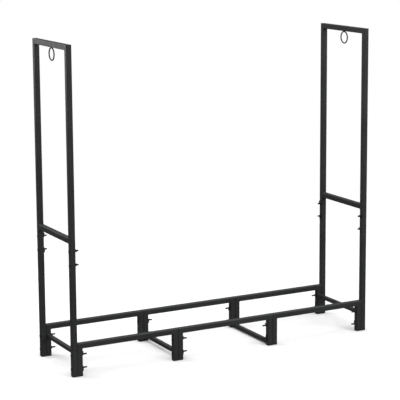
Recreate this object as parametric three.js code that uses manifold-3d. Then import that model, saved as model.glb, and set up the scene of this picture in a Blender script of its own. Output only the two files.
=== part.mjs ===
// Firewood log rack: two upright end frames of square steel tube on a base of three bolted sections.
// Millimetres, +X along the rack, -Y towards the front, +Z up. The origin is on the floor, in the middle.

import * as THREE from 'three';
import { mergeVertices } from 'three/addons/utils/BufferGeometryUtils.js';
import Module from 'manifold-3d';

const wasm = await Module();
wasm.setup();

// Overall sizes
const rackHeight = 1200; // floor to the top of the end frames
const rackDepth = 312; // front face to back face
const sectionLength = 408; // one base section, over its two legs
const sectionCount = 3;
const railHeight = 123; // floor to the top of the rails

// Square tube
const tubeSize = 20;
const tubeWall = 1.2;
const barSize = 15; // low crossbars
const barWall = 1.2;
const footThickness = 3; // closed foot of a leg or post

// Heights above the floor
const jointHeight = 396; // where an upper post sits on a lower post
const jointToMiddleBar = 104; // joint line to the centre of the bar that ties an end frame's posts
const railToOuterBar = 17; // underside of a rail to the top of the crossbar at either end
const innerBarHeights = [16, 5]; // underside of the left and the right inner crossbar

// Spigot of a lower post
const spigotBeyondBolt = 14; // upper joint bolt to the end of the spigot
const spigotPlay = 0.4; // on each side, inside the upper post

// Tool rings under the top bars
const ringDiameter = 50;
const ringWire = 5;

// Bolts and wing nuts
const boltDiameter = 6;
const boltClearance = 0.6; // hole diameter over bolt diameter
const baseBoltLength = 60;
const jointBoltLength = 35;
const headDiameter = 12;
const headHeight = 3.2;
const hubDiameter = 10;
const hubHeight = 6.5;
const wingSpan = 27;
const wingThickness = 2.2;
const wingTipHeight = 3.4;
const firstWingTurn = 60; // degrees from level to the first wing nut's wings
const wingTurn = 50; // each wing nut stops this many degrees further round than the one before
const railToBolt = 23; // underside of a rail to the upper base bolt
const floorToBolt = 30; // floor to the lower base bolt
const jointToBolt = 16; // joint line to the lower joint bolt
const jointBoltSpacing = 52;

// Named clearance between faces that meet
const faceGap = 0.3;

const holeFacets = 8;
const roundFacets = 8;
const ringSegments = 24;

// Places worked out from the sizes
const sectionPitch = sectionLength + faceGap;
const stations = Array.from({ length: sectionCount + 1 }, (_, k) => (k - sectionCount / 2) * sectionPitch);
const lastStation = sectionCount;
const tubeOffset = (tubeSize + faceGap) / 2; // from a station's plane to the centre of the tube beside it
const postY = (rackDepth - tubeSize) / 2;
const innerDepth = rackDepth - 2 * tubeSize - 2 * faceGap;
const outerBarHeight = railHeight - tubeSize - railToOuterBar - barSize;
const crossbarHeights = [outerBarHeight, ...innerBarHeights, outerBarHeight];
const middleBarHeight = jointHeight + jointToMiddleBar;
const baseBoltHeights = [floorToBolt, railHeight - tubeSize - railToBolt];
const jointBoltHeights = [jointHeight + jointToBolt, jointHeight + jointToBolt + jointBoltSpacing];
const spigotTop = jointBoltHeights[1] + spigotBeyondBolt;
const holeRadius = (boltDiameter + boltClearance) / 2 / Math.cos(Math.PI / holeFacets);

// Materials
const coat = { color: 0x2b2b2d, roughness: 0.55, metalness: 0 };
const ringCoat = { color: 0x303032, roughness: 0.5, metalness: 0 };
const hardware = { color: 0x1c1c1e, roughness: 0.45, metalness: 0.6 };

const xAxis = new THREE.Vector3(1, 0, 0);
const yAxis = new THREE.Vector3(0, 1, 0);
const zAxis = new THREE.Vector3(0, 0, 1);

function toSolid(geometry) {
  const bare = geometry.index ? geometry.toNonIndexed() : geometry.clone();
  bare.deleteAttribute('normal');
  bare.deleteAttribute('uv');
  const merged = mergeVertices(bare, 1e-4);
  return new wasm.Manifold(new wasm.Mesh({
    numProp: 3,
    vertProperties: new Float32Array(merged.attributes.position.array),
    triVerts: new Uint32Array(merged.index.array),
  }));
}

function toGeometry(solid) {
  const mesh = solid.getMesh();
  const geometry = new THREE.BufferGeometry();
  geometry.setAttribute('position', new THREE.BufferAttribute(new Float32Array(mesh.vertProperties), 3));
  geometry.setIndex(new THREE.BufferAttribute(new Uint32Array(mesh.triVerts), 1));
  geometry.computeVertexNormals();
  return geometry;
}

// A block centred on the Z axis between two heights
function block(width, bottom, top) {
  const geometry = new THREE.BoxGeometry(width, width, top - bottom);
  return toSolid(geometry.translate(0, 0, (top + bottom) / 2));
}

// A square tube along Z that is open at its upper end, and at its lower end unless a floor is given
function squareTube(size, wall, length, floor = 0) {
  const inside = floor > 0 ? floor : -1;
  return block(size, 0, length).subtract(block(size - 2 * wall, inside, length + 1));
}

// The wedge above a 45 degree mitre at the upper end of a tube whose neighbour runs off along +X
function mitreWedge(size, length) {
  const reach = size;
  const shift = faceGap / Math.SQRT2;
  const lineAt = (x) => length - size / 2 - x - shift;
  const outline = new THREE.Shape([
    new THREE.Vector2(-reach, lineAt(-reach)),
    new THREE.Vector2(reach, lineAt(reach)),
    new THREE.Vector2(reach, length + reach),
    new THREE.Vector2(-reach, length + reach),
  ]);
  const geometry = new THREE.ExtrudeGeometry(outline, { depth: 2 * reach, bevelEnabled: false });
  // the outline's second axis becomes Z, and the extrusion runs along -Y
  return geometry.applyMatrix4(new THREE.Matrix4().makeBasis(xAxis, zAxis, yAxis.clone().negate()))
    .translate(0, reach, 0);
}

// The same wedge turned so that the neighbour runs off along the given direction
function mitreCut(size, length, direction) {
  const across = new THREE.Vector3().crossVectors(zAxis, direction);
  const turn = new THREE.Matrix4().makeBasis(direction, across, zAxis);
  return toSolid(mitreWedge(size, length).applyMatrix4(turn));
}

// A bolt hole along X through the whole tube
function boltHole(height) {
  const reach = 2 * tubeSize;
  const geometry = new THREE.CylinderGeometry(holeRadius, holeRadius, reach, holeFacets);
  geometry.applyMatrix4(new THREE.Matrix4().makeBasis(yAxis, xAxis, zAxis.clone().negate()));
  return toSolid(geometry.translate(0, 0, height));
}

function withHoles(solid, heights) {
  return heights.reduce((body, height) => body.subtract(boltHole(height)), solid);
}

function addMesh(group, name, geometry, finish, position = [0, 0, 0]) {
  const mesh = new THREE.Mesh(geometry, new THREE.MeshStandardMaterial(finish));
  mesh.name = name;
  mesh.position.set(...position);
  group.add(mesh);
}

// Lower post: tube with a closed foot, a shoulder at the joint and a spigot above it
function lowerPostSolid() {
  const spigotSize = tubeSize - 2 * tubeWall - 2 * spigotPlay;
  const body = block(tubeSize, 0, jointHeight).add(block(spigotSize, jointHeight - tubeWall, spigotTop));
  const cavity = block(tubeSize - 2 * tubeWall, footThickness, jointHeight - tubeWall)
    .add(block(spigotSize - 2 * tubeWall, footThickness, spigotTop + 1));
  return withHoles(body.subtract(cavity), [...baseBoltHeights, ...jointBoltHeights]);
}

// Upper post: open tube that slips over the spigot, mitred at the top towards the other post
function upperPostSolid(towards) {
  const bottom = jointHeight + faceGap;
  const length = rackHeight - bottom;
  const tube = squareTube(tubeSize, tubeWall, length)
    .subtract(mitreCut(tubeSize, length, yAxis.clone().multiplyScalar(towards)));
  return withHoles(tube, jointBoltHeights.map((height) => height - bottom));
}

// Leg of a base section, mitred at the top towards its rail
function legSolid(towards) {
  const leg = squareTube(tubeSize, tubeWall, railHeight, footThickness)
    .subtract(mitreCut(tubeSize, railHeight, xAxis.clone().multiplyScalar(towards)));
  return withHoles(leg, baseBoltHeights);
}

// A tube with a mitre at both ends, its long side up, laid along the given axis and centred on it
function mitredBar(length, axis) {
  const side = zAxis.clone().negate();
  const standing = squareTube(tubeSize, tubeWall, length).translate([0, 0, -length / 2]);
  const upperCut = mitreWedge(tubeSize, length / 2);
  const lowerCut = upperCut.clone().applyMatrix4(new THREE.Matrix4().makeBasis(
    xAxis, yAxis.clone().negate(), zAxis.clone().negate()));
  const solid = standing.subtract(toSolid(upperCut)).subtract(toSolid(lowerCut));
  const geometry = toGeometry(solid);
  const across = new THREE.Vector3().crossVectors(axis, side);
  return geometry.applyMatrix4(new THREE.Matrix4().makeBasis(side, across, axis));
}

// A plain open tube along Y between the inner faces of a front and a back tube
function tieBar(size, wall) {
  const solid = squareTube(size, wall, innerDepth).translate([0, 0, -innerDepth / 2]);
  return toGeometry(solid).applyMatrix4(new THREE.Matrix4().makeBasis(zAxis, xAxis, yAxis));
}

// Surface of revolution whose axis runs along +X, from [distance along the axis, radius] pairs
function turned(profile) {
  const points = profile.map(([along, radius]) => new THREE.Vector2(radius, along));
  const geometry = new THREE.LatheGeometry(points, roundFacets);
  return toSolid(geometry.applyMatrix4(new THREE.Matrix4().makeBasis(yAxis, xAxis, zAxis.clone().negate())));
}

// Wing nut on its bolt: the two wings are one plate through the hub, low at the tips
function wingPlate() {
  const half = wingSpan / 2;
  const hub = hubDiameter / 2;
  const outline = new THREE.Shape();
  outline.moveTo(-half + 1, 0);
  outline.lineTo(half - 1, 0);
  outline.lineTo(half, wingTipHeight);
  outline.lineTo(half - 2, wingTipHeight + 1);
  outline.lineTo(hub, hubHeight - 1);
  outline.lineTo(-hub, hubHeight - 1);
  outline.lineTo(-half + 2, wingTipHeight + 1);
  outline.lineTo(-half, wingTipHeight);
  const plate = new THREE.ExtrudeGeometry(outline, { depth: wingThickness, bevelEnabled: false });
  plate.translate(0, 0, -wingThickness / 2);
  // the outline's width runs along Y, its height along X
  return plate.applyMatrix4(new THREE.Matrix4().makeBasis(yAxis, xAxis, zAxis.clone().negate()));
}

// Bolt and wing nut through a stack of the given thickness, the head's seat at x = 0, the nut towards +X
function fastenerSolid(stack, length, turnDegrees) {
  const seat = -faceGap;
  const nutBase = stack + faceGap;
  const shankRadius = boltDiameter / 2;
  const bolt = turned([
    [seat - headHeight, 0],
    [seat - headHeight * 0.85, headDiameter * 0.3],
    [seat - headHeight * 0.3, headDiameter / 2],
    [seat, headDiameter / 2],
    [seat, shankRadius],
    [seat + length - 1, shankRadius],
    [seat + length, shankRadius - 1],
    [seat + length, 0],
  ]);
  const hub = turned([
    [nutBase, 0],
    [nutBase, hubDiameter / 2],
    [nutBase + hubHeight, hubDiameter / 2 - 1],
    [nutBase + hubHeight, 0],
  ]);
  const wings = wingPlate().applyMatrix4(new THREE.Matrix4().makeRotationX(THREE.MathUtils.degToRad(turnDegrees)))
    .translate(nutBase, 0, 0);
  return bolt.add(hub).add(toSolid(wings));
}

// Fastener pointing along +X or -X; the mirrored one is turned half round about Z
function fastenerGeometry(stack, length, turnDegrees, pointing) {
  const geometry = toGeometry(fastenerSolid(stack, length, turnDegrees));
  const turn = new THREE.Matrix4().makeBasis(
    xAxis.clone().multiplyScalar(pointing), yAxis.clone().multiplyScalar(pointing), zAxis);
  return geometry.applyMatrix4(turn);
}

// Closed ring of round wire standing in the plane of an end frame
function ringGeometry() {
  const wire = ringWire / 2;
  const geometry = new THREE.TorusGeometry(ringDiameter / 2 - wire, wire, roundFacets, ringSegments);
  const solid = toSolid(geometry);
  return toGeometry(solid).applyMatrix4(new THREE.Matrix4().makeBasis(yAxis, zAxis, xAxis));
}

const rack = new THREE.Group();
const ends = [
  { name: 'left', station: 0, outward: -1 },
  { name: 'right', station: lastStation, outward: 1 },
];
const sides = [
  { name: 'front', y: -postY, towards: 1 },
  { name: 'back', y: postY, towards: -1 },
];

// End frames
for (const end of ends) {
  const x = stations[end.station] + end.outward * tubeOffset;
  for (const side of sides) {
    addMesh(rack, `lower_post_${end.name}_${side.name}`, toGeometry(lowerPostSolid()), coat, [x, side.y, 0]);
    addMesh(rack, `upper_post_${end.name}_${side.name}`, toGeometry(upperPostSolid(side.towards)), coat,
      [x, side.y, jointHeight + faceGap]);
  }
  addMesh(rack, `top_bar_${end.name}`, mitredBar(rackDepth, yAxis), coat, [x, 0, rackHeight - tubeSize / 2]);
  addMesh(rack, `middle_bar_${end.name}`, tieBar(tubeSize, tubeWall), coat, [x, 0, middleBarHeight]);
  addMesh(rack, `tool_ring_${end.name}`, ringGeometry(), ringCoat,
    [x, 0, rackHeight - tubeSize - faceGap - ringDiameter / 2]);
}

// Base sections: a rail on two legs, at the front and at the back
for (let k = 0; k < sectionCount; k += 1) {
  const middle = (stations[k] + stations[k + 1]) / 2;
  for (const side of sides) {
    addMesh(rack, `rail_${k + 1}_${side.name}`, mitredBar(sectionLength, xAxis), coat,
      [middle, side.y, railHeight - tubeSize / 2]);
    addMesh(rack, `leg_${k + 1}_${side.name}_a`, toGeometry(legSolid(1)), coat,
      [stations[k] + tubeOffset, side.y, 0]);
    addMesh(rack, `leg_${k + 1}_${side.name}_b`, toGeometry(legSolid(-1)), coat,
      [stations[k + 1] - tubeOffset, side.y, 0]);
  }
}

// Low crossbars: on the end sections' outer legs and on both legs of the middle section
stations.forEach((station, k) => {
  const inward = k < sectionCount / 2 ? 1 : -1;
  addMesh(rack, `crossbar_${k + 1}`, tieBar(barSize, barWall), coat,
    [station + inward * tubeOffset, 0, crossbarHeights[k] + barSize / 2]);
});

// Base bolts pass through the two tubes side by side at each station
let turnCount = 0;
const nextTurn = () => (firstWingTurn + turnCount++ * wingTurn) % 180;
const baseStack = 2 * tubeSize + faceGap;
stations.forEach((station, k) => {
  const pointing = k < sectionCount / 2 ? 1 : -1;
  for (const side of sides) {
    baseBoltHeights.forEach((height, level) => {
      addMesh(rack, `bolt_base_${k + 1}_${side.name}_${level + 1}`,
        fastenerGeometry(baseStack, baseBoltLength, nextTurn(), pointing), hardware,
        [station - pointing * (baseStack / 2), side.y, height]);
    });
  }
});

// Joint bolts pass through an upper post and the spigot inside it, nuts to the inside of the rack
for (const end of ends) {
  const x = stations[end.station] + end.outward * tubeOffset;
  for (const side of sides) {
    jointBoltHeights.forEach((height, level) => {
      addMesh(rack, `bolt_joint_${end.name}_${side.name}_${level + 1}`,
        fastenerGeometry(tubeSize, jointBoltLength, nextTurn(), -end.outward), hardware,
        [x + end.outward * (tubeSize / 2), side.y, height]);
    });
  }
}

export default rack;
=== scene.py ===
import math

import bpy
import numpy as np
from mathutils import Matrix, Vector


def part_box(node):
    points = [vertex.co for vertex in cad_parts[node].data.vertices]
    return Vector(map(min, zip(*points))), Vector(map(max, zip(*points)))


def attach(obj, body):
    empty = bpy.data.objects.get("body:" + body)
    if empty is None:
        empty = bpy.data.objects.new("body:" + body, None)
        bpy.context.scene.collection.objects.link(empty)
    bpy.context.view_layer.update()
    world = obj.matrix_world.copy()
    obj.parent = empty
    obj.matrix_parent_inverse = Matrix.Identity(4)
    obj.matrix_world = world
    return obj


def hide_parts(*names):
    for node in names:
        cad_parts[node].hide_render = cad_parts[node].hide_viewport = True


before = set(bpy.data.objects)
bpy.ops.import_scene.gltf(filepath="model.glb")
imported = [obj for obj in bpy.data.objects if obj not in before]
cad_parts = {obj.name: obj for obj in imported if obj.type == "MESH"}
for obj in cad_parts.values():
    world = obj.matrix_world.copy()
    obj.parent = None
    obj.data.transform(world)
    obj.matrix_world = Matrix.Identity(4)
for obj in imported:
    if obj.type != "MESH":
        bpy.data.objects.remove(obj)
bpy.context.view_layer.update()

# firewood log rack of black square tube, held together by bolts and wing nuts
# metres, with +X along the rack, -Y towards the front and +Z up
mm = 0.001
endNames = ("left", "right")
sideNames = ("front", "back")
stationCount = 4  # pairs of legs along the rack
print("stage: frame loaded,", len(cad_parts), "nodes")


def ringQuads(rows, columns, closedRows=False):
    # quad (row, column) joins columns (column, column + 1) of one row to the same two of the next row
    row = np.arange(rows if closedRows else rows - 1)[:, None]
    column = np.arange(columns)[None, :]
    here = row * columns
    after = (row + 1) % rows * columns
    beside = (column + 1) % columns
    quads = np.stack([here + column, here + beside, after + beside, after + column], -1)
    return quads.reshape(-1, 4)


# a part is its points, its quads and the flat faces that close it
def closedGrid(grid):
    # rows of an outline joined by quads, with a flat face over the first row and over the last
    rows, columns = grid.shape[:2]
    rim = np.arange(columns)
    caps = np.stack([rim[::-1], rim + (rows - 1) * columns])
    return grid.reshape(-1, 3), ringQuads(rows, columns), caps


def loopedGrid(grid):
    # rows of an outline joined by quads, and the last row to the first, so nothing is left open
    rows, columns = grid.shape[:2]
    return grid.reshape(-1, 3), ringQuads(rows, columns, closedRows=True), np.empty((0, columns), int)


def placed(points, origin, along, across):
    # origin + x * across + y * (along x across) + z * along
    along = np.array(along, float)
    across = np.array(across, float)
    turn = np.column_stack([across, np.cross(along, across), along])
    return np.array(origin, float) + points @ turn.T


def placedPart(part, origin, along, across):
    # a part with its points placed and its faces as they were
    points, quads, caps = part
    return placed(points, origin, along, across), quads, caps


def makePiece(name, parts, material, replaces=(), sharpAngle=35, edgeMask=None):
    # all the parts' points in one list, each part's faces counted on from its own first point
    faces = []
    start = 0
    for points, quads, caps in parts:
        faces += (quads + start).tolist() + (caps + start).tolist()
        start += len(points)
    mesh = bpy.data.meshes.new(name)
    mesh.from_pydata(np.concatenate([part[0] for part in parts]).tolist(), [], faces)
    mesh.shade_smooth()
    mesh.set_sharp_from_angle(angle=math.radians(sharpAngle))
    if edgeMask is not None:
        mask = mesh.attributes.new("edgeMask", "FLOAT", "POINT")
        mask.data.foreach_set("value", edgeMask.astype(np.float32))
    mesh.materials.append(material)
    piece = bpy.data.objects.new(name, mesh)
    bpy.context.scene.collection.objects.link(piece)
    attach(piece, "root")
    if replaces:
        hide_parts(*replaces)
    return piece


def boxOf(node):
    # the lowest corner, the highest corner and the middle of a CAD node's box
    low, high = (np.array(corner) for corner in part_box(node))
    return low, high, (low + high) / 2


# off the rack's left front corner, looking slightly down
camera = {
    "place": (-2.759, -5.103, 1.7055),
    "heading": 28.18,  # degrees from +Y towards +X
    "downTilt": 9.66,
    "roll": -0.37,
    "lens": 139.4,
    "sensor": 36,
    "shift": -0.1,
    "farEnd": 50,
}


def makeCamera():
    # forward from heading and tilt, right level with the floor, up = right x forward, then both rolled
    heading = math.radians(camera["heading"])
    tilt = math.radians(camera["downTilt"])
    roll = math.radians(camera["roll"])
    level = math.cos(tilt)
    forward = Vector((math.sin(heading) * level, math.cos(heading) * level, -math.sin(tilt)))
    right = Vector((math.cos(heading), -math.sin(heading), 0))
    up = right.cross(forward)
    rolledRight = right * math.cos(roll) + up * math.sin(roll)
    rolledUp = up * math.cos(roll) - right * math.sin(roll)
    data = bpy.data.cameras.new("camera")
    data.lens = camera["lens"]
    data.sensor_width = camera["sensor"]
    data.shift_y = camera["shift"]
    data.clip_end = camera["farEnd"]
    holder = bpy.data.objects.new("camera", data)
    turn = Matrix((rolledRight, rolledUp, -forward)).transposed()
    holder.matrix_world = Matrix.Translation(camera["place"]) @ turn.to_4x4()
    bpy.context.scene.collection.objects.link(holder)
    bpy.context.scene.camera = holder


makeCamera()
print("stage: camera set")


class NodeTree:
    # short calls for building a node tree: an input is given a value or wired to a socket

    def __init__(self, tree):
        self.tree = tree

    def feed(self, made, key, value):
        # "i3" is the fourth input; any other key is an input's name
        socket = made.inputs[int(key[1:])] if key[0] == "i" and key[1:].isdigit() else made.inputs[key]
        if isinstance(value, bpy.types.NodeSocket):
            self.tree.links.new(value, socket)
        else:
            socket.default_value = value

    def node(self, kind, settings=None, **inputs):
        # a new node with its settings, and its inputs fed
        made = self.tree.nodes.new(kind)
        for key, value in (settings or {}).items():
            setattr(made, key, value)
        for key, value in inputs.items():
            self.feed(made, key, value)
        return made

    def grouped(self, group, **inputs):
        # the outputs of a node group placed with its own values
        return self.node("ShaderNodeGroup", {"node_tree": group}, **inputs).outputs

    def math(self, operation, first, second, clamp=False):
        # first and second joined by the operation, held to 0..1 if clamped
        settings = {"operation": operation, "use_clamp": clamp}
        return self.node("ShaderNodeMath", settings, i0=first, i1=second).outputs[0]

    def ramp(self, value, low, high, outLow=0.0, outHigh=1.0):
        # low..high becomes outLow..outHigh, held at both ends
        ends = {"i1": low, "i2": high, "i3": outLow, "i4": outHigh}
        return self.node("ShaderNodeMapRange", {"clamp": True}, i0=value, **ends).outputs[0]

    def mixColour(self, factor, first, second):
        # first + factor * (second - first)
        return self.node("ShaderNodeMix", {"data_type": "RGBA"}, i0=factor, i6=first, i7=second).outputs[2]

    def noise(self, place, scale, detail, roughness=0.5):
        # cloudy values about 0.5 with scale features to a metre
        inputs = {"Vector": place, "Scale": scale, "Detail": detail, "Roughness": roughness}
        return self.node("ShaderNodeTexNoise", **inputs).outputs["Fac"]


def newGroup(name, inputs, outputs):
    # a shader node group with a number for each named input and each named output
    group = bpy.data.node_groups.new(name, "ShaderNodeTree")
    for label, value in inputs.items():
        socket = group.interface.new_socket(name=label, in_out="INPUT", socket_type="NodeSocketFloat")
        socket.default_value = value
    for label in outputs:
        group.interface.new_socket(name=label, in_out="OUTPUT", socket_type="NodeSocketFloat")
    tree = NodeTree(group)
    return group, tree, tree.node("NodeGroupInput").outputs, tree.node("NodeGroupOutput")


def makeOrangePeel():
    # sprayed and baked powder: height = soft bumps + 0.25 * fine ones, shade = a slow drift,
    # gloss = 0.7 * drift + 0.3 * fine bumps
    inputs = {"bumpSize": 700.0, "drift": 9.0}
    group, tree, given, out = newGroup("orangePeel", inputs, ("height", "shade", "gloss"))
    place = tree.node("ShaderNodeTexCoord").outputs["Object"]
    bumps = tree.noise(place, given["bumpSize"], 1.0)
    fine = tree.noise(place, tree.math("MULTIPLY", given["bumpSize"], 3.1), 2.0)
    slow = tree.noise(place, given["drift"], 3.0, 0.6)
    tree.feed(out, "height", tree.math("ADD", bumps, tree.math("MULTIPLY", fine, 0.25)))
    tree.feed(out, "shade", tree.ramp(slow, 0.3, 0.7))
    gloss = tree.math("ADD", tree.math("MULTIPLY", slow, 0.7), tree.math("MULTIPLY", fine, 0.3))
    tree.feed(out, "gloss", gloss)
    return group


def makeSettledDust():
    # dust = how far the surface faces up * broad patches * fine specks * amount
    inputs = {"amount": 0.3, "patchSize": 30.0}
    group, tree, given, out = newGroup("settledDust", inputs, ("mask",))
    place = tree.node("ShaderNodeTexCoord").outputs["Object"]
    facing = tree.node("ShaderNodeSeparateXYZ", i0=tree.node("ShaderNodeNewGeometry").outputs["Normal"])
    upward = tree.ramp(facing.outputs["Z"], 0.35, 1.0)
    patches = tree.ramp(tree.noise(place, given["patchSize"], 5.0, 0.65), 0.35, 0.75, 0.35, 1.0)
    specks = tree.ramp(tree.noise(place, 2600.0, 1.0), 0.55, 0.75, 0.6, 1.0)
    mask = tree.math("MULTIPLY", tree.math("MULTIPLY", upward, patches), specks)
    tree.feed(out, "mask", tree.math("MULTIPLY", mask, given["amount"], clamp=True))
    return group


def makeRubbedEdges():
    # handling wear = rounded corners marked by the edgeMask attribute * broken streaks * amount
    inputs = {"amount": 0.4, "streakSize": 60.0}
    group, tree, given, out = newGroup("rubbedEdges", inputs, ("mask",))
    place = tree.node("ShaderNodeTexCoord").outputs["Object"]
    edge = tree.node("ShaderNodeAttribute", {"attribute_name": "edgeMask"}).outputs["Fac"]
    streaks = tree.ramp(tree.noise(place, given["streakSize"], 6.0, 0.7), 0.5, 0.72)
    mask = tree.math("MULTIPLY", edge, streaks)
    tree.feed(out, "mask", tree.math("MULTIPLY", mask, given["amount"], clamp=True))
    return group


orangePeel = makeOrangePeel()
settledDust = makeSettledDust()
rubbedEdges = makeRubbedEdges()


def makeFinish(name, look):
    # colour = dark..light by the coat's drift, then rubbed edges, then dust over both
    # roughness = roughLow..roughHigh by the coat's gloss, + dustDulls * dust
    material = bpy.data.materials.new(name)
    material.use_nodes = True
    material.node_tree.nodes.clear()
    tree = NodeTree(material.node_tree)
    peel = tree.grouped(orangePeel, bumpSize=look["bumpSize"], drift=look["drift"])
    dust = tree.grouped(settledDust, amount=look["dust"], patchSize=look["dustPatch"])["mask"]
    rubbed = tree.grouped(rubbedEdges, amount=look["rub"], streakSize=look["rubStreak"])["mask"]
    colour = tree.mixColour(peel["shade"], look["dark"], look["light"])
    colour = tree.mixColour(rubbed, colour, look["rubColour"])
    colour = tree.mixColour(dust, colour, look["dustColour"])
    rough = tree.ramp(peel["gloss"], 0.3, 0.7, look["roughLow"], look["roughHigh"])
    rough = tree.math("ADD", rough, tree.math("MULTIPLY", dust, look["dustDulls"]), clamp=True)
    relief = {"Height": peel["height"], "Strength": look["bump"], "Distance": look["bumpDepth"]}
    bump = tree.node("ShaderNodeBump", **relief).outputs[0]
    shader = tree.node("ShaderNodeBsdfPrincipled", Roughness=rough, Normal=bump)
    tree.feed(shader, "Base Color", colour)
    tree.feed(shader, "Metallic", look["metal"])
    tree.feed(shader, "Specular IOR Level", look["specular"])
    tree.feed(tree.node("ShaderNodeOutputMaterial"), "Surface", shader.outputs[0])
    return material


coatLook = {
    "dark": (0.0165, 0.0170, 0.0180, 1),
    "light": (0.0215, 0.0220, 0.0232, 1),
    "roughLow": 0.4,
    "roughHigh": 0.52,
    "drift": 8.0,  # slow changes per metre
    "bumpSize": 650.0,  # soft bumps per metre
    "bump": 0.35,
    "bumpDepth": 0.00018,
    "metal": 0.0,
    "specular": 0.35,
    "rub": 0.15,
    "rubStreak": 70.0,
    "rubColour": (0.045, 0.045, 0.047, 1),
    "dust": 0.05,
    "dustPatch": 28.0,
    "dustDulls": 0.35,
    "dustColour": (0.14, 0.13, 0.115, 1),
}
weldLook = dict(coatLook, bumpSize=1100.0, roughLow=0.38, roughHigh=0.48, dust=0.03, rub=0.0)
capLook = dict(
    coatLook,
    dark=(0.008, 0.008, 0.0085, 1),
    light=(0.012, 0.012, 0.0125, 1),
    roughLow=0.55,
    roughHigh=0.7,
    bumpSize=1800.0,
    bump=0.25,
    bumpDepth=0.00008,
    rub=0.0,
    dust=0.2,
    dustColour=(0.12, 0.11, 0.1, 1),
)
boltLook = dict(
    coatLook,
    dark=(0.008, 0.008, 0.0085, 1),
    light=(0.015, 0.0148, 0.0148, 1),
    roughLow=0.3,
    roughHigh=0.46,
    drift=60.0,
    bumpSize=1500.0,
    bump=0.2,
    bumpDepth=0.00005,
    metal=0.25,
    rub=0.0,
)
nutLook = dict(boltLook, roughLow=0.38, roughHigh=0.55, bumpSize=900.0, bump=0.4, bumpDepth=0.0001)

powderCoat = makeFinish("blackPowderCoat", coatLook)
weldCoat = makeFinish("coatedWeld", weldLook)
capPlastic = makeFinish("mouldedCapPlastic", capLook)
boltBlack = makeFinish("blackenedBolt", boltLook)
nutBlack = makeFinish("castWingNut", nutLook)
print("stage: finishes made")


# the steel of the posts, legs, rails and bars
tube = {
    "cornerRadius": 2.2 * mm,
    "barCornerRadius": 1.8 * mm,  # of the thinner low crossbars
    "arcSteps": 5,
    "shoulder": 0.6 * mm,  # flat strip beside each rounded corner, which keeps the broad faces flat
    "endChamfer": 0.35 * mm,
    "capSeam": 0.2 * mm,  # between a foot cap and the end of its tube
    "jointGap": 0.3 * mm,  # between tubes that meet
    "spigotPlay": 1.6 * mm,  # on each side: the upper post's wall and the slack inside it
    "spigotStep": 0.05 * mm,
    "spigotLead": 0.5 * mm,  # the taper at the spigot's tip, in height and on each side
    "sharpAngle": 24,
}


def squareOutline(size, radius):
    # a corner is shoulder, arc of radius * (cos, sin) about the corner's centre, shoulder;
    # the outline is that corner turned by 0, 90, 180 and 270 degrees
    turn = np.linspace(0, math.pi / 2, tube["arcSteps"] + 1)
    arc = np.column_stack([np.cos(turn), np.sin(turn)]) * radius + size / 2 - radius
    corner = np.vstack([arc[:1] - [0, tube["shoulder"]], arc, arc[-1:] - [tube["shoulder"], 0]])
    quarter = np.array([[0.0, 1.0], [-1.0, 0.0]])
    return np.vstack([corner @ np.linalg.matrix_power(quarter, k) for k in range(4)])


def edgeWeights():
    # 0 on the shoulders and (1 + sin) / 2 along each arc, in the order of squareOutline
    arc = np.sin(np.linspace(0, math.pi, tube["arcSteps"] + 1)) * 0.5 + 0.5
    return np.tile(np.r_[0.0, arc, 0.0], 4)


def squareLevels(levels):
    # each level is (size, radius, height, slope): its outline stands at height + outline . slope
    grid = []
    for size, radius, height, slope in levels:
        outline = squareOutline(size, radius)
        grid.append(np.column_stack([outline, height + outline @ np.array(slope, float)]))
    return np.stack(grid)


def tubeLevels(size, radius, length, startCut=None, endCut=None):
    # four outlines: end and chamfer, twice; a plain end is square to the tube, and a mitred one
    # leans by height = outline . cut, which is 45 degrees, and shortens the side its cut points to
    chamfer = tube["endChamfer"]
    startSlope = startCut or (0, 0)
    endSlope = (-endCut[0], -endCut[1]) if endCut else (0, 0)
    start = size / 2 if startCut else 0
    end = length - size / 2 if endCut else length
    slim = size - 2 * chamfer
    return [
        (slim, radius - chamfer, start, startSlope),
        (size, radius, start + chamfer, startSlope),
        (size, radius, end - chamfer, endSlope),
        (slim, radius - chamfer, end, endSlope),
    ]


def makeTube(levels, origin, along, across, node):
    # the levels joined into one closed skin, standing at origin
    part = closedGrid(squareLevels(levels))
    makePiece(node + ".tube", [placedPart(part, origin, along, across)], powderCoat, [node],
              sharpAngle=tube["sharpAngle"], edgeMask=np.tile(edgeWeights(), len(levels)))


# the plastic plug that closes a tube at the floor
cap = {
    # millimetres narrower than its tube and millimetres up, from the rim on the ground to the shoulder
    "levels": ((3.4, 0.0), (1.7, 0.25), (0.7, 0.9), (0.15, 1.9), (0.0, 3.0), (0.0, 4.1), (0.5, 4.4)),
    "cornerRadius": 2.6 * mm,
    "sharpAngle": 60,
}


def tubeFoot():
    # where a capped tube starts = the cap's top level + the seam above it
    return cap["levels"][-1][1] * mm + tube["capSeam"]


def makeFootCap(name, centre, width):
    # rounded squares of side width - inset, stacked up from the ground
    radius = cap["cornerRadius"]
    levels = [(width - inset * mm, radius, height * mm, (0, 0)) for inset, height in cap["levels"]]
    part = closedGrid(squareLevels(levels))
    plug = placedPart(part, (centre[0], centre[1], 0), (0, 0, 1), (1, 0, 0))
    makePiece(name, [plug], capPlastic, sharpAngle=cap["sharpAngle"])


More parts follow.
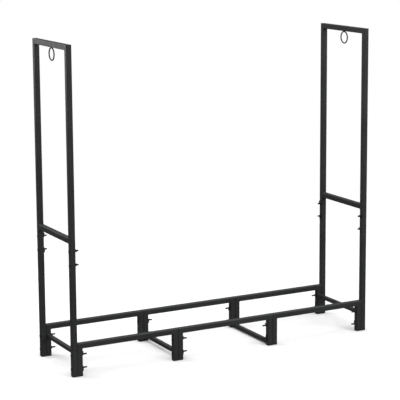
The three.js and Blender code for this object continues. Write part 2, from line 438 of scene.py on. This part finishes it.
def makePost(end, side):
    # an upper post mitred towards its neighbour, on a lower post that steps in and carries on up inside it
    upper = f"upper_post_{end}_{side}"
    lower = f"lower_post_{end}_{side}"
    radius = tube["cornerRadius"]
    low, high, centre = boxOf(upper)
    width = high[0] - low[0]
    towards = 1 if side == "front" else -1
    levels = tubeLevels(width, radius, high[2] - low[2], endCut=(0, towards))
    makeTube(levels, (centre[0], centre[1], low[2]), (0, 0, 1), (1, 0, 0), upper)

    foot = tubeFoot()
    joint = low[2] - tube["jointGap"] - foot
    tip = boxOf(lower)[1][2] - foot
    spigot = width - 2 * tube["spigotPlay"]
    lead = tube["spigotLead"]
    levels = tubeLevels(width, radius, joint)
    levels += [
        (spigot, radius / 2, joint + tube["spigotStep"], (0, 0)),
        (spigot, radius / 2, tip - lead, (0, 0)),
        (spigot - 2 * lead, radius / 2, tip, (0, 0)),
    ]
    makeTube(levels, (centre[0], centre[1], foot), (0, 0, 1), (1, 0, 0), lower)
    makeFootCap(f"foot_cap_post_{end}_{side}", centre, width)


def makeLeg(node, towards):
    # a leg mitred towards the rail it carries
    low, high, centre = boxOf(node)
    width = high[0] - low[0]
    foot = tubeFoot()
    levels = tubeLevels(width, tube["cornerRadius"], high[2] - foot, endCut=(towards, 0))
    makeTube(levels, (centre[0], centre[1], foot), (0, 0, 1), (1, 0, 0), node)
    makeFootCap("foot_cap_" + node, centre, width)


def makeLevelTube(node, axis, mitred, radius):
    # a tube laid along X or Y; a mitred one keeps its long side up
    low, high, origin = boxOf(node)
    origin[axis] = low[axis]
    cut = (1, 0) if mitred else None
    levels = tubeLevels(high[2] - low[2], radius, high[axis] - low[axis], cut, cut)
    makeTube(levels, origin, np.eye(3)[axis], (0, 0, -1), node)


def makeTubes():
    # posts, legs, end-frame bars, rails and crossbars, each where its CAD node is
    for end in endNames:
        for side in sideNames:
            makePost(end, side)
    for section in range(1, stationCount):
        for side in sideNames:
            makeLeg(f"leg_{section}_{side}_a", 1)
            makeLeg(f"leg_{section}_{side}_b", -1)
    for end in endNames:
        makeLevelTube(f"top_bar_{end}", 1, True, tube["cornerRadius"])
        makeLevelTube(f"middle_bar_{end}", 1, False, tube["cornerRadius"])
    for section in range(1, stationCount):
        for side in sideNames:
            makeLevelTube(f"rail_{section}_{side}", 0, True, tube["cornerRadius"])
    for station in range(1, stationCount + 1):
        makeLevelTube(f"crossbar_{station}", 1, False, tube["barCornerRadius"])


makeTubes()
print("stage: tubes and foot caps made")


# beads where one tube meets another
weld = {
    # bead radius and how far its middle lies inside the tube's surface: dressed mitres, then plain bar ends
    "mitre": (1.2 * mm, 0.9 * mm),
    "barEnd": (1.5 * mm, 0.7 * mm),
    "ripple": 0.07,
    "ripplePitch": 1.8 * mm,
    "stepsRound": 10,
    "step": 0.5 * mm,
    "sharpAngle": 80,
}


def resampled(values, reach, where):
    # values given round a closed path of lengths reach, read again at the lengths where
    closed = np.vstack([values, values[:1]])
    return np.column_stack([np.interp(where, reach, closed[:, k]) for k in range(3)])


def beadAlong(path, outward, radius, step, stepsRound, ripple=0.0, pitch=1.0):
    # point = path + r * (cos a * outward + sin a * sideways), where a runs round the bead and
    # r = radius * (1 + ripple * cos(2 pi * waves * distance / length))
    steps = np.diff(np.vstack([path, path[:1]]), axis=0)
    reach = np.r_[0, np.cumsum(np.linalg.norm(steps, axis=1))]
    count = int(reach[-1] / step)
    where = np.arange(count) / count * reach[-1]
    middle = resampled(path, reach, where)
    out = resampled(outward, reach, where)
    tangent = np.roll(middle, -1, 0) - np.roll(middle, 1, 0)
    tangent /= np.linalg.norm(tangent, axis=1, keepdims=True)
    out -= (out * tangent).sum(1, keepdims=True) * tangent
    out /= np.linalg.norm(out, axis=1, keepdims=True)
    aside = np.cross(tangent, out)
    angle = np.linspace(0, 2 * math.pi, stepsRound, endpoint=False)[None, :, None]
    waves = round(reach[-1] / pitch)
    size = radius * (1 + ripple * np.cos(2 * math.pi * waves * where / reach[-1]))
    around = np.cos(angle) * out[:, None] + np.sin(angle) * aside[:, None]
    return loopedGrid(middle[:, None] + size[:, None, None] * around)


def beadOnTube(kind, size, radius, height, slope, origin, along, across):
    # a bead along outline - sink * normal, square across the tube or leaning with its mitre
    beadRadius, sink = weld[kind]
    outline = squareOutline(size, radius)
    edge = np.roll(outline, -1, 0) - np.roll(outline, 1, 0)
    normals = np.column_stack([edge[:, 1], -edge[:, 0]]) / np.linalg.norm(edge, axis=1, keepdims=True)
    path = np.column_stack([outline - normals * sink, height + outline @ np.array(slope, float)])
    outward = np.column_stack([normals, np.zeros(len(normals))])
    path = placed(path, origin, along, across)
    outward = placed(outward, (0, 0, 0), along, across)
    return beadAlong(path, outward, beadRadius, weld["step"], weld["stepsRound"],
                     weld["ripple"], weld["ripplePitch"])


def barBeads(node, radius):
    # a bead round each end of a bar that butts against its neighbours
    low, high, centre = boxOf(node)
    size = high[2] - low[2]
    ends = [(centre[0], y, centre[2]) for y in (low[1], high[1])]
    return [beadOnTube("barEnd", size, radius, 0, (0, 0), end, (0, 1, 0), (0, 0, -1)) for end in ends]


def mitreBeads(node, axis):
    # a bead round each mitred end of a tube whose long side is up
    low, high, origin = boxOf(node)
    origin[axis] = low[axis]
    size = high[2] - low[2]
    ends = ((size / 2, (1, 0)), (high[axis] - low[axis] - size / 2, (-1, 0)))
    return [
        beadOnTube("mitre", size, tube["cornerRadius"], height, slope, origin, np.eye(3)[axis], (0, 0, -1))
        for height, slope in ends
    ]


def makeWeld(name, beads):
    # the beads of one frame or bar as one piece, which stands in for no CAD node
    makePiece(name, beads, weldCoat, sharpAngle=weld["sharpAngle"])


def makeWelds():
    # mitres and middle bar of each end frame, both mitres of each rail, both ends of each crossbar
    for end in endNames:
        beads = mitreBeads(f"top_bar_{end}", 1) + barBeads(f"middle_bar_{end}", tube["cornerRadius"])
        makeWeld(f"weld_end_frame_{end}", beads)
    for section in range(1, stationCount):
        for side in sideNames:
            makeWeld(f"weld_rail_{section}_{side}", mitreBeads(f"rail_{section}_{side}", 0))
    for station in range(1, stationCount + 1):
        makeWeld(f"weld_crossbar_{station}", barBeads(f"crossbar_{station}", tube["barCornerRadius"]))


makeWelds()
print("stage: welds made")


# the hook ring under each top bar, and the weld that holds it
ring = {
    "wire": 5 * mm,
    "pathSteps": 96,
    "step": 1.0 * mm,
    "stepsRound": 20,
    # the weld that holds the ring: half sizes along X, Y and Z, and how its surface is stepped and rippled
    "weldReach": (4.2 * mm, 6.5 * mm, 2.0 * mm),
    "weldSteps": (24, 32),
    "weldPole": 0.06,  # radians left for the flat face at each pole
    "weldWaves": 9,
    "weldSink": 0.6 * mm,
    "weldRipple": 0.06,
}


def ringWeldSurface():
    # a flattened ball (x * b * sin v * cos u, -y * cos v, -z * b * sin v * sin u),
    # with b = 1 + ripple * cos(waves * v)
    along, around = ring["weldSteps"]
    v = np.linspace(ring["weldPole"], math.pi - ring["weldPole"], along)[:, None]
    u = np.linspace(0, 2 * math.pi, around, endpoint=False)[None, :]
    bulge = 1 + ring["weldRipple"] * np.cos(ring["weldWaves"] * v) * np.ones_like(u)
    x, y, z = ring["weldReach"]
    return np.stack([
        x * bulge * np.sin(v) * np.cos(u),
        -y * np.cos(v) * np.ones_like(u),
        -z * bulge * np.sin(v) * np.sin(u),
    ], -1)


def makeToolRing(end):
    # a wire bent to a circle in the end frame's plane, under the weld that holds it to the top bar
    node = f"tool_ring_{end}"
    low, high, centre = boxOf(node)
    radius = (high[2] - low[2] - ring["wire"]) / 2
    turn = np.linspace(0, 2 * math.pi, ring["pathSteps"], endpoint=False)
    outward = np.column_stack([np.zeros_like(turn), np.cos(turn), np.sin(turn)])
    wire = beadAlong(centre + outward * radius, outward, ring["wire"] / 2, ring["step"], ring["stepsRound"])
    makePiece(node + ".wire", [wire], powderCoat, [node])
    points, quads, caps = closedGrid(ringWeldSurface())
    points = points + np.array((centre[0], centre[1], high[2] - ring["weldSink"]))
    makeWeld(f"weld_tool_ring_{end}", [(points, quads, caps)])


for endName in endNames:
    makeToolRing(endName)
print("stage: tool rings made")


# dome-headed, with a hexagonal socket
bolt = {
    "shankRadius": 2.95 * mm,
    "headRadius": 6 * mm,
    "headHeight": 3.2 * mm,
    "socketRadius": 2.3 * mm,
    "socketDepth": 1.9 * mm,
    "threadDepth": 0.42 * mm,
    "threadPitch": 1.0 * mm,
    "threadLength": 24 * mm,
    "stepsPerPitch": 6,
    "stepsRound": 24,
    "sharpAngle": 38,
}


def headRows(angle):
    # from inside out: socket floor, hexagonal wall of radius cos 30 / cos(angle from a flat's middle),
    # its rim, a dome of radius head * sin(a)^0.9 and height top * (0.12 + 0.88 cos a), seat and shank
    flat = np.ones_like(angle)
    hexagon = math.cos(math.pi / 6) / np.cos((angle + math.pi / 6) % (math.pi / 3) - math.pi / 6)
    head = bolt["headRadius"]
    socket = bolt["socketRadius"]
    shank = bolt["shankRadius"]
    top = -bolt["headHeight"]
    floor = top + bolt["socketDepth"]
    rows = [
        (0.3 * socket * flat, floor),  # closed by a flat face
        (0.97 * socket * hexagon, floor),
        (socket * hexagon, top + 0.1 * mm),
        (1.18 * socket * flat, top),  # rim of the socket
    ]
    for a in np.linspace(0.32, math.pi / 2, 8)[2:]:
        rows.append((head * math.sin(a) ** 0.9 * flat, top * (0.12 + 0.88 * math.cos(a))))
    rows += [(0.97 * head * flat, 0.0), (1.12 * shank * flat, 0.0), (shank * flat, 0.4 * mm)]
    return rows


def boltSurface(length):
    # the head's rows, then a helical thread of radius shank - depth * w^1.4 with
    # w = (1 + cos(2 pi z / pitch - angle)) / 2, cut back to a cone at the tip
    angle = np.linspace(0, 2 * math.pi, bolt["stepsRound"], endpoint=False)
    rows = headRows(angle)
    steps = np.arange(length - bolt["threadLength"], length, bolt["threadPitch"] / bolt["stepsPerPitch"])
    wave = 0.5 + 0.5 * np.cos(2 * math.pi * steps[:, None] / bolt["threadPitch"] - angle[None, :])
    thread = bolt["shankRadius"] - bolt["threadDepth"] * wave ** 1.4
    cone = bolt["shankRadius"] - bolt["threadDepth"] * 1.6 + (length - steps[:, None]) * 0.8
    thread = np.minimum(thread, cone)
    radii = np.vstack([np.stack([radius for radius, _ in rows]), thread, 0.5 * thread[-1:]])
    heights = np.r_[[height for _, height in rows], steps, length][:, None] + 0 * radii
    return closedGrid(np.stack([radii * np.cos(angle), radii * np.sin(angle), heights], -1))


# a hub with two wings
nut = {
    "boreRadius": 3.05 * mm,
    "hubRadius": 5.2 * mm,
    "hubTopRadius": 4.2 * mm,
    "hubHeight": 6.5 * mm,
    "wingStart": 3.6 * mm,
    "wingSpan": 27 * mm,
    "wingHalfThickness": 1.15 * mm,
    "wingThinning": 0.2,
    # heights above the nut's base: the value at the hub, then what s and s^2 add towards the tip
    "wingBottom": (0.25 * mm, 0.5 * mm),
    "wingTop": (6.0 * mm, -3.4 * mm, 1.9 * mm),
    "wingSteps": (22, 24),
    "hubSteps": 32,
    "firstTurn": 60,  # degrees from level to the first nut's wings
    "turnStep": 50,  # degrees from one nut's wings to the next
    "sharpAngle": 50,
}


def squarer(wave):
    # an ellipse's cos or sin pushed outwards, to a power of 0.75
    return np.sign(wave) * np.abs(wave) ** 0.75


def wingSurface(sign):
    # an oval of half height (high - low) / 2 carried outwards as s goes from 0 to 1, where low and high are
    # polynomials in s, its thickness falls by the thinning, and both close at the tip by sqrt(1 - s^7)
    along, around = nut["wingSteps"]
    s = np.linspace(0, 0.998, along)[:, None]
    a = np.linspace(0, 2 * math.pi, around, endpoint=False)[None, :]
    reach = nut["wingStart"] + (nut["wingSpan"] / 2 - nut["wingStart"]) * s
    low = np.polynomial.polynomial.polyval(s, nut["wingBottom"])
    high = np.polynomial.polynomial.polyval(s, nut["wingTop"])
    closing = np.sqrt(1 - s ** 7)
    tall = (high - low) / 2 * closing
    thick = nut["wingHalfThickness"] * (1 - nut["wingThinning"] * s) * closing
    grid = np.stack([
        (high + low) / 2 + tall * squarer(np.cos(a)),
        sign * thick * squarer(np.sin(a)),
        sign * reach + 0 * a,
    ], -1)
    return closedGrid(grid)


def hubSurface():
    # a closed profile (radius, height) turned about the bolt's axis: (r * cos a, r * sin a, height)
    bore = nut["boreRadius"]
    base = nut["hubRadius"]
    top = nut["hubTopRadius"]
    height = nut["hubHeight"]
    profile = np.array([
        (bore, 0.3 * mm),
        (bore + 0.3 * mm, 0),
        (base - 0.3 * mm, 0),
        (base, 0.3 * mm),
        (base, 1.4 * mm),
        (base - 0.35 * mm, 2.2 * mm),
        (top, height - 0.5 * mm),
        (top - 0.5 * mm, height),
        (bore + 0.4 * mm, height),
        (bore, height - 0.4 * mm),
    ])
    angle = np.linspace(0, 2 * math.pi, nut["hubSteps"], endpoint=False)[None, :]
    r = profile[:, :1]
    return loopedGrid(np.stack([r * np.cos(angle), r * np.sin(angle), profile[:, 1:] + 0 * angle], -1))


def makeFastener(node, stack, pointing, turn):
    # a bolt whose head is outside and, past the stack of tubes, a wing nut turned about the same axis
    low, high, centre = boxOf(node)
    y, z = centre[1:]
    gap = tube["jointGap"]
    start, tip = sorted((low[0] * pointing, high[0] * pointing))
    seat = start + bolt["headHeight"]
    along = (pointing, 0, 0)
    upright = (0, 0, 1)
    shaft = placedPart(boltSurface(tip - seat), (seat * pointing, y, z), along, upright)
    makePiece(node + ".bolt", [shaft], boltBlack, [node], sharpAngle=bolt["sharpAngle"])

    base = ((seat + gap + stack + gap) * pointing, y, z)
    radial = (0, pointing * math.cos(turn), math.sin(turn))
    parts = [placedPart(hubSurface(), base, along, upright)]
    parts += [placedPart(wingSurface(sign), base, radial, along) for sign in (1, -1)]
    makePiece(node + ".nut", parts, nutBlack, sharpAngle=nut["sharpAngle"])


def makeFasteners():
    # bolts point inwards from both ends of the rack
    # a base bolt clamps two tubes, and a joint bolt clamps a post on its spigot
    low, high = boxOf("upper_post_left_front")[:2]
    width = high[0] - low[0]
    pair = 2 * width + tube["jointGap"]
    places = []
    for station in range(1, stationCount + 1):
        pointing = 1 if station <= stationCount / 2 else -1
        for side in sideNames:
            places += [(f"bolt_base_{station}_{side}_{n}", pair, pointing) for n in (1, 2)]
    for end, pointing in zip(endNames, (1, -1)):
        for side in sideNames:
            places += [(f"bolt_joint_{end}_{side}_{n}", width, pointing) for n in (1, 2)]
    for count, (node, stack, pointing) in enumerate(places):
        turn = (nut["firstTurn"] + count * nut["turnStep"]) % 180
        makeFastener(node, stack, pointing, math.radians(turn))


makeFasteners()
print("stage: bolts and wing nuts made")


# a pale floor under a bright sky, with two soft lights
studio = {
    "floorSize": 4.6,
    "floorColour": (0.74, 0.74, 0.745, 1),
    "floorRoughness": 0.95,
    "white": 1.0,  # what the camera sees past the floor
    "skyLow": 0.05,  # light from level and below
    "skyHigh": 0.88,  # light from overhead
    "skyBand": (0.1, 0.9),  # upward part of the direction over which the one becomes the other
    "sunTurn": (8, -10),  # degrees of lean about X and Y
    "sunPower": 2.0,
    "sunSpread": 55,
    # name, place, aim, width and height, power
    "lights": (
        ("leftSoft", (-1.9, 1.5, 1.5), (-0.62, 0, 0.9), (1.2, 1.2), 26),
        ("frontSoft", (2.4, -4.2, 2.7), (0, 0, 1.2), (2.6, 1.4), 135),
    ),
}


def makeFloor():
    # one square face in the ground plane
    half = studio["floorSize"] / 2
    corners = [(-half, -half, 0), (half, -half, 0), (half, half, 0), (-half, half, 0)]
    mesh = bpy.data.meshes.new("floor")
    mesh.from_pydata(corners, [], [(0, 1, 2, 3)])
    material = bpy.data.materials.new("paleFloor")
    material.use_nodes = True
    shader = material.node_tree.nodes["Principled BSDF"]
    shader.inputs["Base Color"].default_value = studio["floorColour"]
    shader.inputs["Roughness"].default_value = studio["floorRoughness"]
    shader.inputs["Specular IOR Level"].default_value = 0.0
    mesh.materials.append(material)
    floor = bpy.data.objects.new("floor", mesh)
    floor.visible_glossy = False  # the coat stays dark instead of mirroring the floor
    bpy.context.scene.collection.objects.link(floor)


def makeSky():
    # strength = skyLow..skyHigh by how far up the light comes from, and plain white to the camera
    world = bpy.data.worlds.new("studio")
    world.use_nodes = True
    world.node_tree.nodes.clear()
    tree = NodeTree(world.node_tree)
    direction = tree.node("ShaderNodeTexCoord").outputs["Generated"]
    height = tree.node("ShaderNodeSeparateXYZ", i0=direction).outputs["Z"]
    sky = tree.ramp(height, *studio["skyBand"], studio["skyLow"], studio["skyHigh"])
    seen = tree.node("ShaderNodeLightPath").outputs["Is Camera Ray"]
    strength = tree.math("MAXIMUM", tree.math("MULTIPLY", seen, studio["white"]), sky)
    background = tree.node("ShaderNodeBackground", Color=(1, 1, 1, 1), Strength=strength)
    tree.feed(tree.node("ShaderNodeOutputWorld"), "Surface", background.outputs[0])
    bpy.context.scene.world = world


def makeLights():
    # one broad sun from above, and a soft rectangle for each row of lights, aimed from place to aim
    sun = bpy.data.lights.new("sun", "SUN")
    sun.energy = studio["sunPower"]
    sun.angle = math.radians(studio["sunSpread"])
    lamp = bpy.data.objects.new("sun", sun)
    lamp.rotation_euler = [math.radians(turn) for turn in studio["sunTurn"]] + [0]
    bpy.context.scene.collection.objects.link(lamp)
    for name, place, aim, size, power in studio["lights"]:
        data = bpy.data.lights.new(name, "AREA")
        data.shape = "RECTANGLE"
        data.size, data.size_y = size
        data.energy = power
        light = bpy.data.objects.new(name, data)
        light.location = place
        light.rotation_euler = (Vector(aim) - Vector(place)).to_track_quat("-Z", "Y").to_euler()
        light.visible_camera = False
        bpy.context.scene.collection.objects.link(light)


bpy.context.scene.view_settings.view_transform = "Standard"  # keeps the pale floor white
makeFloor()
makeSky()
makeLights()
print("stage: studio made")
